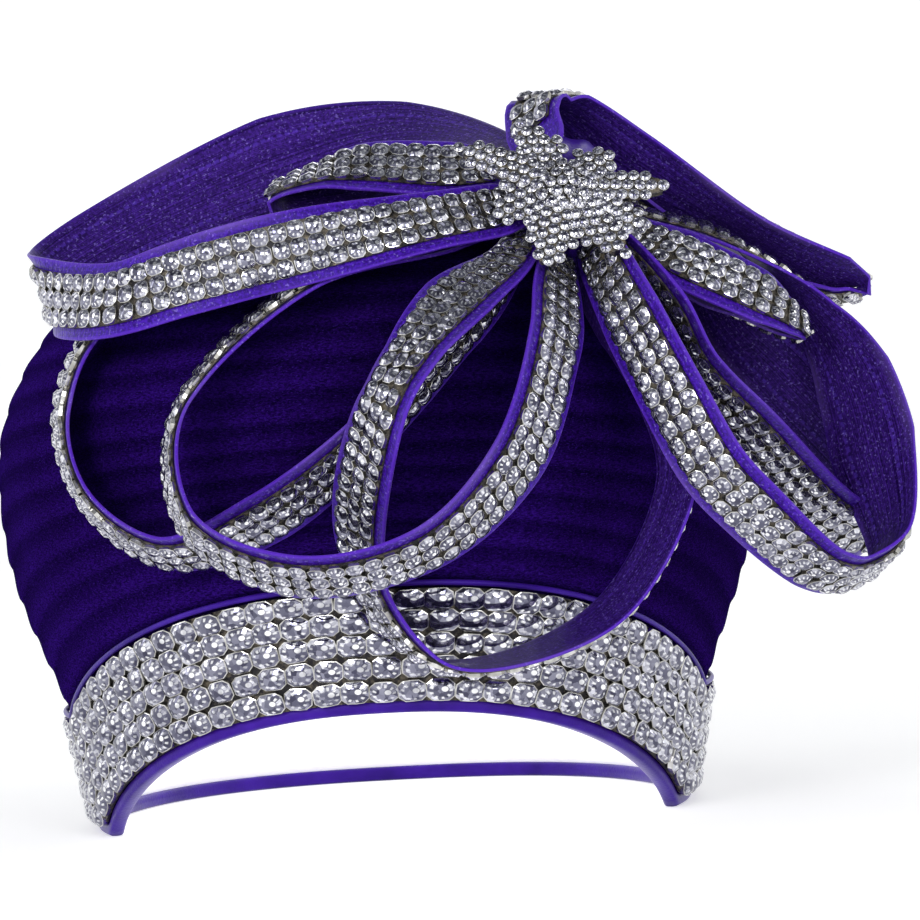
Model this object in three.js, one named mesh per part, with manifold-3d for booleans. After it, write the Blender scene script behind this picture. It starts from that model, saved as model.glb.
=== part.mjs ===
// Church hat: a domed satin crown in narrow folds, a deep crystal band round an arched rim, and a bow of
// nine crystal-trimmed ribbon loops tied to a knot under a leaf-shaped crystal brooch.
// Millimetres, +Z up, the front of the hat towards -Y. The hat stands on the sides and back of its rim.
import * as THREE from 'three';
import { mergeVertices } from 'three/addons/utils/BufferGeometryUtils.js';
import Module from 'manifold-3d';

const wasm = await Module();
wasm.setup();

// Driving dimensions of the crown
const CROWN_WALL = 3.0;
const PLAN_POWER = 0.85;
const ARCH_POWER = 0.8;
const ROUND_STEPS = 42;
const FOLD_COUNT = 13;
const FOLD_HEIGHT = 0.9;
const FOLD_START = 3.2;
const JOINT_GAP = 0.3;

// Driving dimensions of the band, its piping and the rim binding
const BINDING_HEIGHT = 3.0;
const BAND_ROWS = 5;
const BAND_START = 4.0;
const BAND_VALLEY = 1.7;
const BAND_CREST = 2.6;
const PIPING_RADIUS = 0.8;
const PIPING_SIDES = 6;

// Driving dimensions of the ribbon loops
const RIBBON_WIDTH = 22;
const RIBBON_THICKNESS = 1.0;
const TRIM_WIDTH = 15.3;
const TRIM_THICKNESS = 1.6;
const RIBBON_STEP = 12.5;

// Driving dimensions of the knot and the brooch
const KNOT = { x: 58, y: -86, z: 180, radiusX: 18, radiusY: 28, radiusZ: 18, footRadius: 9, footZ: 140 };
const TRIM_STOP = 5;
const BROOCH = { x: 57.8, y: -117, z: 182.5, tiltDeg: 28, backThickness: 1.2 };
const STONE_RADIUS = 1.9;
const STONE_HEIGHT = 1.3;
const STONE_SIDES = 8;
const STONE_TABLE = 0.55;

// One row for each level of the crown. side: half width and height over the ears. front and back: depth and
// height there. foot: how far round from the front, in degrees, the raised arch of that level reaches.
const CROWN_LEVELS = [
  // sideX sideZ frontY frontZ backY backZ foot
  [88, 0, -104, 37, 104, 0, 68.5],
  [95, 34, -112, 73, 114, 34, 73.5],
  [109, 72, -120, 103, 127, 66, 80],
  [113, 100, -121, 122, 130, 88, 88],
  [110, 120, -117, 139, 127, 106, 90],
  [98, 142, -102, 158, 115, 130, 90],
  [78, 162, -76, 173, 92, 152, 90],
  [45, 176, -34, 180, 60, 171, 90],
  [0, 182, 17, 182, 17, 182, 90],
];
const BAND_TOP_LEVEL = 1;
const FOLDS_END_LEVEL = 6;

// One row for each bend of a loop, from the knot out along its front limb and back again. x, y, z: the middle
// of the ribbon. wx, wy, wz: the way across it, so that its stones face across x along. gather: its width
// there as a share of the full width.
const LOOPS = {
  left_front: [
    // x y z wx wy wz gather
    [53, -106, 181, 0, 0.8, 0.6, 0.45],
    [41, -110, 178, 0, 0.6, 0.8, 0.8],
    [17, -119, 175, -0.1, 0.6, 0.8, 0.95],
    [-28, -126, 168, 0, 0, 1, 1],
    [-50, -124, 163, 0, 0.2, 1, 1],
    [-70, -115, 158, 0.1, 0.3, 1, 1],
    [-89, -86, 160, -0.2, 0.4, 0.9, 1],
    [-88, -70, 165, -0.3, 0.5, 0.8, 1],
    [-74, -57, 175, -0.3, 0.5, 0.8, 1.1],
    [-24, -50, 196, -0.3, 0.4, 0.8, 1.35],
    [12, -53, 202, -0.1, 0.8, 0.55, 1.35],
    [37, -63, 197, 0, 0.9, 0.45, 0.95],
    [51, -77, 187, 0.1, 0.9, 0.4, 0.45],
  ],
  left_inner: [
    [53, -86, 185, 0, 0.9, 0.5, 0.45],
    [40, -88, 189, 0, 0.8, 0.6, 0.85],
    [26, -90, 190, 0.1, 0.7, 0.7, 1],
    [1, -88, 192, 0.1, 0.8, 0.6, 1],
    [-11, -86, 190, 0, 1, 0.3, 1],
    [-24, -83, 185, 0.1, 1, 0.2, 1],
    [-20, -81, 182, 0, 0.8, 0.6, 1],
    [-4, -80, 183, 0, 0.6, 0.8, 1],
    [32, -74, 187, 0, 0.8, 0.5, 0.9],
    [50, -76, 182, 0, 0.9, 0.4, 0.45],
  ],
  left_far: [
    [53, -84, 176, -0.2, -0.8, 0.5, 0.45],
    [42, -102, 163, -0.5, -0.6, 0.6, 0.6],
    [30, -121, 149, -0.4, -0.8, 0.4, 1],
    [13, -131, 130, -0.4, -0.8, 0.4, 1],
    [-2, -132, 115, -0.3, -0.8, 0.5, 1],
    [-30, -126, 95, -0.2, -0.7, 0.6, 1],
    [-58, -114, 86, 0, -0.9, 0.4, 1],
    [-80, -102, 101, 0.1, -1, 0.2, 1],
    [-87, -90, 126, 0.2, -1, 0, 1],
    [-75, -90, 150, 0.1, -1, -0.1, 1],
    [-32, -102, 166, 0.1, -1, -0.1, 1],
    [14, -96, 172, 0, -1, -0.1, 1],
    [34, -84, 176, 0, -1, -0.1, 0.9],
    [50, -76, 179, 0, -1, -0.2, 0.45],
  ],
  left_low: [
    [56, -104, 167, -0.5, -0.9, 0, 0.5],
    [55, -121, 154, -0.6, -0.8, 0.1, 0.85],
    [53, -135, 140, -0.6, -0.8, 0.1, 1],
    [41, -152, 109, -0.6, -0.7, 0.3, 1],
    [15, -160, 86, -0.3, -0.8, 0.5, 1],
    [-22, -157, 80, 0.1, -0.8, 0.5, 1],
    [-50, -145, 95, 0.2, -1, 0.2, 1],
    [-52, -127, 125, 0.1, -1, 0, 1],
    [-15, -115, 159, 0.1, -1, -0.1, 1],
    [25, -98, 168, 0, -1, -0.1, 1],
    [41, -86, 173, 0, -1, -0.1, 0.85],
    [51, -79, 177, 0, -1, -0.2, 0.45],
  ],
  middle_low: [
    [51, -98, 177, -0.3, 0.9, 0.4, 0.45],
    [42, -119, 164, -0.4, 0.8, 0.4, 0.7],
    [27, -139, 154, -0.5, 0.7, 0.5, 1],
    [14, -153, 140, -0.4, 0.8, 0.4, 1],
    [5, -158, 126, -0.6, 0.8, 0.2, 1],
    [-4, -139, 93, -0.6, 0.8, 0, 1],
    [-2, -129, 75, -0.4, 0.9, 0, 1],
    [12, -125, 55, -0.3, 1, 0, 1],
    [29, -125, 51, -0.1, 1, 0.1, 1],
    [65, -118, 64, -0.3, 0.9, 0.2, 1],
    [86, -110, 100, -0.5, 0.9, 0, 1],
    [82, -107, 121, -0.5, 0.9, -0.1, 1],
    [70, -107, 143, -0.4, 0.9, -0.1, 1],
    [62, -91, 161, -0.3, 0.9, -0.1, 0.7],
    [60, -79, 174, -0.3, 0.9, -0.2, 0.45],
  ],
  right_front: [
    [62, -102, 177, -0.4, 0.9, -0.3, 0.5],
    [67, -114, 164, -0.6, 0.7, -0.3, 0.85],
    [75, -127, 145, -0.7, 0.6, -0.5, 1],
    [85, -133, 123, -0.7, 0.5, -0.5, 1],
    [95, -133, 103, -0.7, 0.5, -0.5, 1],
    [105, -129, 91, -0.6, 0.6, -0.6, 1],
    [125, -113, 72, -0.4, 0.8, -0.5, 1],
    [136, -102, 70, -0.2, 0.9, -0.4, 1],
    [146, -93, 77, -0.2, 0.9, -0.3, 1],
    [147, -79, 104, -0.7, 0.7, -0.2, 1.05],
    [142, -75, 124, -0.6, 0.7, -0.3, 1.04],
    [130, -72, 141, -0.5, 0.8, -0.3, 1],
    [105, -70, 165, 0, 1, 0.1, 1],
    [80, -72, 174, 0, 1, 0.1, 0.85],
    [67, -77, 179, 0, 1, 0.2, 0.45],
  ],
  right_inner: [
    [61, -94, 176, -0.4, 0.9, -0.2, 0.45],
    [73, -104, 165, -0.4, 0.8, -0.3, 0.75],
    [86, -108, 147, -0.4, 0.9, -0.4, 1],
    [93, -106, 129, -0.5, 0.8, -0.5, 1],
    [106, -99, 113, -0.5, 0.7, -0.5, 1],
    [133, -69, 83, -0.4, 0.7, -0.6, 1],
    [146, -55, 80, -0.4, 0.7, -0.6, 1],
    [147, -50, 92, -0.4, 0.7, -0.6, 1],
    [122, -51, 126, -0.6, 0.4, -0.6, 1.2],
    [109, -54, 140, -0.6, 0.6, -0.5, 1.2],
    [98, -57, 155, -0.5, 0.8, -0.4, 1],
    [83, -62, 165, -0.4, 0.9, -0.4, 0.85],
    [66, -76, 174, -0.3, 0.9, -0.3, 0.45],
  ],
  right_small: [
    [65, -92, 178, -0.4, -0.8, -0.4, 0.45],
    [80, -94, 168, -0.3, -0.8, -0.6, 0.7],
    [91, -97, 161, -0.3, -0.7, -0.7, 1],
    [114, -95, 148, -0.3, -0.7, -0.6, 1],
    [122, -92, 141, -0.2, -0.9, -0.3, 1],
    [127, -87, 135, -0.1, -1, -0.2, 1],
    [122, -81, 136, -0.2, -0.9, -0.3, 1],
    [109, -81, 145, -0.2, -0.9, -0.3, 1],
    [98, -83, 154, -0.3, -0.8, -0.5, 1],
    [83, -86, 163, -0.3, -0.8, -0.6, 0.85],
    [68, -86, 175, -0.3, -0.7, -0.7, 0.45],
  ],
  right_top: [
    [57, -90, 186, 0.4, -0.9, 0, 0.45],
    [53, -87, 195, 0.7, -0.7, 0, 0.9],
    [51, -83, 202, 0.6, -0.8, 0, 1],
    [53, -77, 208, 0.5, -0.9, -0.1, 1],
    [61, -70, 208, 0.3, -1, 0, 1],
    [80, -64, 190, 0.4, -0.7, 0.6, 1],
    [112, -60, 168, 0.2, -0.9, 0.4, 1],
    [138, -57, 156, 0.1, -1, 0.2, 1],
    [144, -54, 151, 0.1, -1, 0.1, 1],
    [138, -51, 147, 0.1, -1, 0, 1],
    [110, -45, 162.5, 0, -0.9, -0.35, 1.1],
    [79, -54, 179, 0, -1, 0.1, 0.85],
    [66, -72, 183, 0, -1, 0.1, 0.45],
  ],
};

// One row for each leaf of the brooch: where it points, its length and half width, and how far it stands up.
const LEAVES = [
  // angleDeg length halfWidth lift
  [154, 32, 6.5, 2.2],
  [117, 24, 7.0, 1.6],
  [33, 18, 6.5, 2.4],
  [357, 30, 6.0, 2.0],
  [328, 26, 6.5, 1.4],
  [306, 28, 7.0, 1.8],
  [257, 27, 7.5, 2.2],
  [202, 21, 7.0, 1.5],
];

// Outline of the brooch's middle, from its back to its top
const BOSS = [
  // radius height
  [0, -1.2],
  [9, -1.2],
  [9, 0.3],
  [6, 3.4],
  [2.5, 4.8],
  [0, 5],
];

// Geometry helpers
function closedGeometry(positions, triangles) {
  const geometry = new THREE.BufferGeometry();
  geometry.setAttribute('position', new THREE.Float32BufferAttribute(positions, 3));
  geometry.setIndex(triangles);
  return geometry;
}

function toSolid(geometry) {
  const bare = geometry.clone();
  bare.deleteAttribute('normal');
  bare.deleteAttribute('uv');
  const merged = mergeVertices(bare, 1e-4);
  const vertProperties = new Float32Array(merged.getAttribute('position').array);
  const triVerts = new Uint32Array(merged.getIndex().array);
  return new wasm.Manifold(new wasm.Mesh({ numProp: 3, vertProperties, triVerts }));
}

function toGeometry(solid) {
  const mesh = solid.getMesh();
  return closedGeometry(Array.from(mesh.vertProperties), Array.from(mesh.triVerts));
}

// Rows of rings joined into one closed surface. Each ring holds the same number of points. With closeLoop the
// last ring meets the first, otherwise both ends are capped by a fan. crossed tells which quads are split
// along their other diagonal.
function ringSurface(rings, closeLoop, crossed = () => false) {
  const count = rings[0].length;
  const positions = rings.flat().flatMap((point) => [point.x, point.y, point.z]);
  const triangles = [];
  const strips = closeLoop ? rings.length : rings.length - 1;
  for (let i = 0; i < strips; i += 1) {
    const here = i * count;
    const next = ((i + 1) % rings.length) * count;
    for (let j = 0; j < count; j += 1) {
      const k = (j + 1) % count;
      if (crossed(i, j)) triangles.push(here + j, here + k, next + j, here + k, next + k, next + j);
      else triangles.push(here + j, here + k, next + k, here + j, next + k, next + j);
    }
  }
  if (!closeLoop) {
    const last = (rings.length - 1) * count;
    for (let j = 1; j < count - 1; j += 1) {
      triangles.push(0, j + 1, j);
      triangles.push(last, last + j, last + j + 1);
    }
  }
  return closedGeometry(positions, triangles);
}

// A smooth curve through table values: value and slope at each knot from its neighbours.
function hermite(before, from, to, after, knots, share) {
  const [k0, k1, k2, k3] = knots;
  const span = k2 - k1;
  const slopeFrom = ((to - before) / (k2 - k0)) * span;
  const slopeTo = ((after - from) / (k3 - k1)) * span;
  const s2 = share * share;
  const s3 = s2 * share;
  return (
    (2 * s3 - 3 * s2 + 1) * from +
    (s3 - 2 * s2 + share) * slopeFrom +
    (3 * s2 - 2 * s3) * to +
    (s3 - s2) * slopeTo
  );
}

// Crown surface
const levelKnots = [0];
for (let i = 1; i < CROWN_LEVELS.length; i += 1) {
  const [x0, z0] = CROWN_LEVELS[i - 1];
  const [x1, z1] = CROWN_LEVELS[i];
  levelKnots.push(levelKnots[i - 1] + Math.hypot(x1 - x0, z1 - z0));
}
const bandTop = levelKnots[BAND_TOP_LEVEL];
const foldsEnd = levelKnots[FOLDS_END_LEVEL];
const poleAt = levelKnots[levelKnots.length - 1];

function levelAt(along) {
  const last = CROWN_LEVELS.length - 1;
  let i = 0;
  while (i < last - 1 && along > levelKnots[i + 1]) i += 1;
  const share = (along - levelKnots[i]) / (levelKnots[i + 1] - levelKnots[i]);
  const picks = [Math.max(0, i - 1), i, i + 1, Math.min(last, i + 2)];
  const knots = picks.map((pick) => levelKnots[pick]);
  return CROWN_LEVELS[0].map((unused, column) => {
    const [a, b, c, d] = picks.map((pick) => CROWN_LEVELS[pick][column]);
    return hermite(a, b, c, d, knots, share);
  });
}

// A point of the crown's outside: along is the way up from the rim, around is the angle from the front.
function crownPoint(along, around) {
  const [sideX, sideZ, frontY, frontZ, backY, backZ, foot] = levelAt(along);
  const middleY = (frontY + backY) / 2;
  const turn = Math.cos(around);
  const across = Math.sin(around);
  const x = sideX * Math.sign(across) * Math.abs(across) ** PLAN_POWER;
  if (turn <= 0) {
    return new THREE.Vector3(x, middleY - (backY - middleY) * turn, sideZ + (backZ - sideZ) * turn * turn);
  }
  const reach = Math.min(1, Math.abs(Math.atan2(across, turn)) / THREE.MathUtils.degToRad(foot));
  const arch = Math.max(0, Math.cos((Math.PI / 2) * reach)) ** ARCH_POWER;
  return new THREE.Vector3(x, middleY + (frontY - middleY) * turn, sideZ + (frontZ - sideZ) * arch);
}

function crownNormal(along, around) {
  const small = 0.5;
  const lower = Math.max(0, along - small);
  const upper = Math.min(poleAt - small, along + small);
  const up = crownPoint(upper, around).sub(crownPoint(lower, around));
  const round = crownPoint(along, around + 0.02).sub(crownPoint(along, around - 0.02));
  return round.cross(up).normalize();
}

function crownRing(along, offset) {
  const ring = [];
  for (let i = 0; i < ROUND_STEPS; i += 1) {
    const around = (i / ROUND_STEPS) * 2 * Math.PI - Math.PI;
    ring.push(crownPoint(along, around).addScaledVector(crownNormal(along, around), offset));
  }
  return ring;
}

// Closes a stack of rings with one point over the last and, where given, one under the first.
function dome(rings, topPoint, bottomPoint) {
  const count = rings[0].length;
  const body = ringSurface(rings, true);
  const positions = Array.from(body.getAttribute('position').array);
  const stripTriangles = (rings.length - 1) * count * 6;
  const triangles = Array.from(body.getIndex().array).slice(0, stripTriangles);
  const last = (rings.length - 1) * count;
  const top = positions.length / 3;
  positions.push(topPoint.x, topPoint.y, topPoint.z);
  const bottom = top + 1;
  positions.push(bottomPoint.x, bottomPoint.y, bottomPoint.z);
  for (let j = 0; j < count; j += 1) {
    const k = (j + 1) % count;
    triangles.push(last + j, last + k, top);
    triangles.push(k, j, bottom);
  }
  return closedGeometry(positions, triangles);
}

const INSIDE_LEVELS = 7;
const TOP_RINGS = 3;
const CROWN_FOOT = BINDING_HEIGHT + JOINT_GAP + 0.1;

function outsideRings() {
  const rings = [crownRing(CROWN_FOOT, 0), crownRing(bandTop / 2, 0), crownRing(bandTop, 0)];
  const pitch = (foldsEnd - bandTop - FOLD_START) / FOLD_COUNT;
  for (let i = 0; i < FOLD_COUNT; i += 1) {
    const start = bandTop + FOLD_START + i * pitch;
    rings.push(crownRing(start, 0));
    rings.push(crownRing(start + pitch * 0.45, FOLD_HEIGHT));
  }
  for (let i = 0; i < TOP_RINGS; i += 1) {
    rings.push(crownRing(foldsEnd + ((poleAt - foldsEnd) * i) / TOP_RINGS, 0));
  }
  return rings;
}

function crown() {
  const pole = crownPoint(poleAt, 0);
  const inside = [];
  for (let i = INSIDE_LEVELS; i >= 0; i -= 1) {
    const along = CROWN_FOOT + ((poleAt - 14 - CROWN_FOOT) * i) / INSIDE_LEVELS;
    inside.push(crownRing(along, -CROWN_WALL));
  }
  const outside = outsideRings();
  const count = ROUND_STEPS;
  const shell = ringSurface([...outside, ...inside], true);
  const positions = Array.from(shell.getAttribute('position').array);
  const all = Array.from(shell.getIndex().array);
  const topStrip = (outside.length - 1) * count * 6;
  const triangles = [...all.slice(0, topStrip), ...all.slice(topStrip + count * 6)];
  const outerPole = positions.length / 3;
  positions.push(pole.x, pole.y, pole.z);
  positions.push(pole.x, pole.y, pole.z - CROWN_WALL);
  const outerLast = (outside.length - 1) * count;
  const innerFirst = outside.length * count;
  for (let j = 0; j < count; j += 1) {
    const k = (j + 1) % count;
    triangles.push(outerLast + j, outerLast + k, outerPole);
    triangles.push(innerFirst + k, innerFirst + j, outerPole + 1);
  }
  return closedGeometry(positions, triangles);
}

// The crown's whole outer form without its hollow, a little larger, for cutting what stands on it.
function crownForm(offset) {
  const rings = [0, 0.25, 0.5, 1].map((share) => crownRing(bandTop * share, offset));
  const steps = 16;
  for (let i = 1; i < steps; i += 1) {
    rings.push(crownRing(bandTop + ((poleAt - bandTop) * i) / steps, offset + FOLD_HEIGHT));
  }
  const pole = crownPoint(poleAt, 0);
  pole.z += offset;
  return dome(rings, pole, new THREE.Vector3(0, 0, 20));
}

// Band of five ridged crystal rows round the outside of the crown, open inside
function crystalBand() {
  const rowHeight = (bandTop - BAND_START) / BAND_ROWS;
  const rings = [crownRing(BAND_START, BAND_VALLEY)];
  for (let i = 0; i < BAND_ROWS; i += 1) {
    rings.push(crownRing(BAND_START + rowHeight * (i + 0.5), BAND_CREST));
    rings.push(crownRing(BAND_START + rowHeight * (i + 1), BAND_VALLEY));
  }
  rings.push(crownRing(bandTop, JOINT_GAP + 0.1));
  rings.push(crownRing(bandTop / 2, JOINT_GAP + 0.1));
  rings.push(crownRing(BAND_START, JOINT_GAP + 0.1));
  return ringSurface(rings, true);
}

// A ring of any small section that follows one level of the crown; sections are given as outward and up.
function edgeRing(along, section) {
  const rings = section.map(([outward, up]) => {
    const ring = [];
    for (let i = 0; i < ROUND_STEPS; i += 1) {
      const around = (i / ROUND_STEPS) * 2 * Math.PI - Math.PI;
      const normal = crownNormal(along, around);
      const level = new THREE.Vector3(normal.x, normal.y, 0).normalize();
      const point = crownPoint(along, around).addScaledVector(level, outward);
      point.z += up;
      ring.push(point);
    }
    return ring;
  });
  return ringSurface(rings, true);
}

function rimBinding() {
  return edgeRing(0, [
    [-2.4, 0],
    [0.3, 0],
    [1.0, 1.2],
    [0.7, BINDING_HEIGHT],
    [-3.1, BINDING_HEIGHT],
    [-3.4, 1.2],
  ]);
}

function bandPiping() {
  const section = [];
  for (let i = 0; i < PIPING_SIDES; i += 1) {
    const angle = (i / PIPING_SIDES) * 2 * Math.PI;
    section.push([1.4 + PIPING_RADIUS * Math.sin(angle), PIPING_RADIUS * -Math.cos(angle)]);
  }
  return edgeRing(bandTop + 1.5, section);
}

// Frames along a loop: its middle, the way across and the way its stones face, with the gathered width
function loopFrames(rows) {
  const points = rows.map(([x, y, z]) => new THREE.Vector3(x, y, z));
  const ways = rows.map((row) => new THREE.Vector3(row[3], row[4], row[5]).normalize());
  const middle = new THREE.CatmullRomCurve3(points, false, 'centripetal');
  const way = new THREE.CatmullRomCurve3(ways, false, 'catmullrom', 0.5);
  const frames = [];
  for (let i = 0; i < rows.length - 1; i += 1) {
    const steps = Math.max(1, Math.round(points[i].distanceTo(points[i + 1]) / RIBBON_STEP));
    const extra = i === rows.length - 2 ? 1 : 0;
    for (let j = 0; j < steps + extra; j += 1) {
      const share = (i + j / steps) / (rows.length - 1);
      const along = middle.getTangent(share);
      const across = way.getPoint(share);
      across.addScaledVector(along, -across.dot(along)).normalize();
      const gather = THREE.MathUtils.lerp(rows[i][6], rows[i + 1][6], j / steps);
      const face = across.clone().cross(along).normalize();
      frames.push({ at: middle.getPoint(share), across, face, gather });
    }
  }
  return frames;
}

// A flat strip swept along the frames, from low to high off the ribbon's middle. Where it twists, each quad
// is split so that it sags away from the stones, and a trim never cuts into its ribbon.
function sweptStrip(frames, width, low, high) {
  const rings = frames.map(({ at, across, face, gather }) => {
    const half = (width / 2) * gather;
    return [
      [-half, low],
      [-half, high],
      [half, high],
      [half, low],
    ].map(([over, out]) => at.clone().addScaledVector(across, over).addScaledVector(face, out));
  });
  const lifts = frames.slice(1).map(({ across, face }, i) => across.dot(frames[i].face) > frames[i].across.dot(face));
  return ringSurface(rings, false, (i, j) => (j === 1 && lifts[i]) || (j === 3 && !lifts[i]));
}

// Knot: an egg of gathered satin on a short foot, cut to stand on the crown
function knotForm(offset) {
  const egg = new THREE.SphereGeometry(1, 16, 12);
  egg.scale(KNOT.radiusX + offset, KNOT.radiusY + offset, KNOT.radiusZ + offset);
  egg.translate(KNOT.x, KNOT.y, KNOT.z);
  const footLength = KNOT.z - KNOT.footZ;
  const foot = new THREE.CylinderGeometry(KNOT.footRadius + offset, KNOT.footRadius + offset, footLength, 12);
  foot.rotateX(Math.PI / 2);
  foot.translate(KNOT.x, KNOT.y + 6, KNOT.z - footLength / 2);
  return toSolid(egg).add(toSolid(foot));
}

// Brooch: eight raised leaves round a dome, with faceted stones, fused in one piece
function leaf([angleDeg, length, halfWidth, lift]) {
  const angle = THREE.MathUtils.degToRad(angleDeg);
  const out = new THREE.Vector3(Math.cos(angle), Math.sin(angle), 0);
  const side = new THREE.Vector3(-Math.sin(angle), Math.cos(angle), 0);
  const stations = [
    // share of length, share of half width, share of height
    [0.1, 0.6, 1.2],
    [0.5, 1, 0.9],
    [0.8, 0.7, 0.55],
    [1, 0.15, 0.25],
  ];
  const rings = stations.map(([reach, wide, tall]) => {
    const half = halfWidth * wide;
    const rise = lift * tall + 0.4;
    return [
      [-half, -BROOCH.backThickness],
      [half, -BROOCH.backThickness],
      [half, 0.3],
      [half * 0.5, rise],
      [-half * 0.5, rise],
      [-half, 0.3],
    ].map(([over, up]) => {
      const point = out.clone().multiplyScalar(length * reach).addScaledVector(side, over);
      point.z = up;
      return point;
    });
  });
  return toSolid(ringSurface(rings, false));
}

function stone(x, y, z) {
  const top = STONE_RADIUS * STONE_TABLE;
  const cut = new THREE.CylinderGeometry(top, STONE_RADIUS, STONE_HEIGHT, STONE_SIDES);
  cut.rotateX(Math.PI / 2);
  cut.translate(x, y, z);
  return toSolid(cut);
}

function brooch() {
  const bossOutline = BOSS.map(([radius, height]) => new THREE.Vector2(radius, height));
  const boss = new THREE.LatheGeometry(bossOutline, 12);
  boss.rotateX(Math.PI / 2);
  let body = toSolid(boss);
  for (const row of LEAVES) {
    body = body.add(leaf(row));
    const [angleDeg, length, , lift] = row;
    const angle = THREE.MathUtils.degToRad(angleDeg);
    for (const [reach, height] of [
      [0.5, 0.9],
      [0.72, 0.65],
    ]) {
      const x = Math.cos(angle) * length * reach;
      const y = Math.sin(angle) * length * reach;
      body = body.add(stone(x, y, lift * height + 0.7));
    }
  }
  body = body.add(stone(0, 0, 5.2));
  const geometry = toGeometry(body);
  geometry.rotateX(Math.PI / 2 - THREE.MathUtils.degToRad(BROOCH.tiltDeg));
  geometry.translate(BROOCH.x, BROOCH.y, BROOCH.z);
  return geometry;
}

// Finishes
const crownSatin = new THREE.MeshStandardMaterial({ color: 0x2c1170, roughness: 0.45, metalness: 0 });
const ribbonSatin = new THREE.MeshStandardMaterial({ color: 0x3f1fa8, roughness: 0.35, metalness: 0 });
const edgeSatin = new THREE.MeshStandardMaterial({ color: 0x4a2ac0, roughness: 0.3, metalness: 0 });
const crystal = new THREE.MeshStandardMaterial({ color: 0xd6dae2, roughness: 0.12, metalness: 0.5 });

const hat = new THREE.Group();

function addPiece(name, geometry, material) {
  const mesh = new THREE.Mesh(geometry, material);
  mesh.name = name;
  hat.add(mesh);
}

addPiece('crown', crown(), crownSatin);
addPiece('crystal_band', crystalBand(), crystal);
addPiece('band_piping', bandPiping(), edgeSatin);
addPiece('rim_binding', rimBinding(), edgeSatin);
addPiece('bow_knot', toGeometry(knotForm(0).subtract(toSolid(crownForm(JOINT_GAP)))), ribbonSatin);

const knotClearance = knotForm(JOINT_GAP);
const trimClearance = knotForm(TRIM_STOP);
for (const [name, rows] of Object.entries(LOOPS)) {
  const frames = loopFrames(rows);
  const half = RIBBON_THICKNESS / 2;
  const ribbon = toSolid(sweptStrip(frames, RIBBON_WIDTH, -half, half));
  const low = half + JOINT_GAP;
  // A trim keeps its width where its ribbon spreads out.
  const trimFrames = frames.map((frame) => ({ ...frame, gather: Math.min(1, frame.gather) }));
  const trim = toSolid(sweptStrip(trimFrames, TRIM_WIDTH, low, low + TRIM_THICKNESS));
  addPiece(`ribbon_${name}`, toGeometry(ribbon.subtract(knotClearance)), ribbonSatin);
  addPiece(`trim_${name}`, toGeometry(trim.subtract(trimClearance)), crystal);
}
addPiece('brooch', brooch(), crystal);

// The origin is the middle of the hat's own box, on the surface that it stands on.
const box = new THREE.Box3().setFromObject(hat);
hat.position.set(-(box.min.x + box.max.x) / 2, -(box.min.y + box.max.y) / 2, -box.min.z);
hat.updateMatrixWorld(true);

export default hat;
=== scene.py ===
"""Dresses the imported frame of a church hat: folded satin crown, crystal band, ribbon bow and leaf brooch."""

import math
import random

import bmesh
import bpy
from bpy.props import FloatProperty, FloatVectorProperty, IntProperty, PointerProperty
from bpy.types import Operator, Panel, PropertyGroup
from mathutils import Matrix, Vector


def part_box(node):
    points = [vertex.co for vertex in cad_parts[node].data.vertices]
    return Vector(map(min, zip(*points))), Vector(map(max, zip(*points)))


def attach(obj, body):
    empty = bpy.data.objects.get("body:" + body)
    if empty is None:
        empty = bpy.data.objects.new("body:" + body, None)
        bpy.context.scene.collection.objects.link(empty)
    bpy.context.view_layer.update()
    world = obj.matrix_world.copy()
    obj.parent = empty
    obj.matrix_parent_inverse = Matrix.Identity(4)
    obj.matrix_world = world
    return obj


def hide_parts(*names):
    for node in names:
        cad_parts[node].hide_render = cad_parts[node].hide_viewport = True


bl_info = {
    "name": "Church Hat with Crystal Bow",
    "version": (1, 0, 0),
    "blender": (4, 5, 0),
    "location": "View3D > Sidebar > Hat",
    "description": "Dresses a hat's frame in folded satin, crystal trims, a ribbon bow and a leaf brooch",
    "category": "Add Mesh",
}

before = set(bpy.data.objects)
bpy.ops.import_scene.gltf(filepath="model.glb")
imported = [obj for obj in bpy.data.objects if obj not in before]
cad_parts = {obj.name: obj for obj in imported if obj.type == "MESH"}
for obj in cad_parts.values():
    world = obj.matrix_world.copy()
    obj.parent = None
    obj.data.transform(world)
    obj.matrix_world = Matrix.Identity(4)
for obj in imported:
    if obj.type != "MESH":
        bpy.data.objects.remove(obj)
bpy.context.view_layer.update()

MM = 0.001
UV_NAME = "UVMap"
RIM_LOW, RIM_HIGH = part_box("rim_binding")
# The tables below count from the middle of the rim. The frame counts from the middle of the whole hat.
RIM_MIDDLE = Vector(((RIM_LOW.x + RIM_HIGH.x) / 2, (RIM_LOW.y + RIM_HIGH.y) / 2, 0))

PLAN_POWER = 0.85
ARCH_POWER = 0.8
BAND_TOP_LEVEL = 1
FOLDS_END_LEVEL = 6
FOLD_START = 3.2
CROWN_FOOT = 3.4
INSIDE_STOP = 14
OUTSIDE_ROWS = 230
INSIDE_ROWS = 22
EDGE_COLUMNS = 240
EDGE_ROWS = 16

BAND_START = 3.6
BAND_GROUND = (0.4, 1.3)
BAND_STONES_AT = 1.1
TRIM_ROWS = (-1, 0, 1)
TRIM_GROUND = 0.5
TRIM_STONES_AT = 0.3
# How far the corners of a stone stand out past a round one, as a share of its radius.
BAND_CUSHION = 0.16
TRIM_CUSHION = 0.14

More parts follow.
